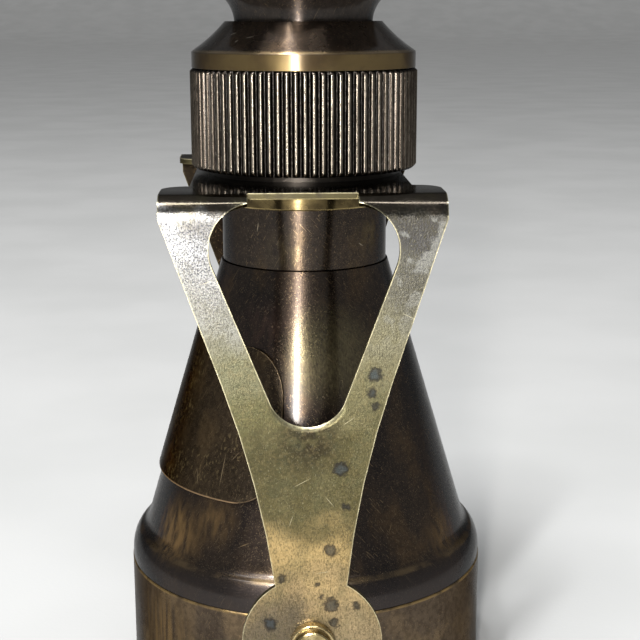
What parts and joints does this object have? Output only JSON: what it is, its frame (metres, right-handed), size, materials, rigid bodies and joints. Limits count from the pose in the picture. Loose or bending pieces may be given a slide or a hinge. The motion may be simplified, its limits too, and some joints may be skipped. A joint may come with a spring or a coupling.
{
  "type": "spyglass",
  "caption": "Short standing brass spyglass with a cone body, a ribbed focusing ring, a flared eyecup and a two-legged sheet yoke screwed to the objective bell.",
  "frame": {"origin": "on the optical axis in the plane of the bell's rim, which is what the spyglass stands on", "axes": "+Z along the optical axis to the eye, the yoke's two legs at -Y and +Y, the bare plate at -X"},
  "size_m": [0.05, 0.0564, 0.0985],
  "materials": {
    "aged_brass": "dark patina, satin",
    "plate_brass": "dark patina, satin",
    "yoke_brass": "worn plating, satin",
    "bright_brass": "polished",
    "dark_brass": "blackened, semi-gloss",
    "blackened_brass": "blackened, matte",
    "washer_fibre": "pressed fibre",
    "lens_glass": "polished"
  },
  "bodies": {
    "tube": {"bell": "aged_brass", "objective_cell": "blackened_brass", "objective_ring": "bright_brass", "crown_lens": "lens_glass", "flint_lens": "lens_glass", "cone_body": "aged_brass", "light_stop": "blackened_brass", "name_plate": "plate_brass", "neck_tube": "aged_brass", "seat_ring": "bright_brass", "yoke": "yoke_brass", "clamp_nut": "blackened_brass", "yoke_screw_front": "bright_brass", "yoke_screw_rear": "bright_brass", "screw_boss_front": "bright_brass", "screw_boss_rear": "bright_brass", "keeper_ring": "bright_brass", "friction_washer": "washer_fibre", "guide_screw": "bright_brass"},
    "focuser": {"focus_ring": "aged_brass", "lead_nut": "bright_brass", "cap_ring": "aged_brass"},
    "eyepiece": {"draw_tube": "aged_brass", "eyecup": "dark_brass", "eye_cell": "blackened_brass", "eye_lens": "lens_glass", "eye_lens_ring": "bright_brass"}
  },
  "joints": [
    {"name": "focus_turn", "type": "hinge", "parent": "tube", "child": "focuser", "pos_m": [0, 0, 0.0797], "axis": [0, 0, 1], "range_deg": [0, 180]},
    {"name": "eyepiece_draw", "type": "slide", "parent": "tube", "child": "eyepiece", "axis": [0, 0, 1], "range_m": [0, 0.004]}
  ],
  "couplings": [
    {"joint": "eyepiece_draw", "follows": "focus_turn", "m_per_rad": 0.001273}
  ]
}
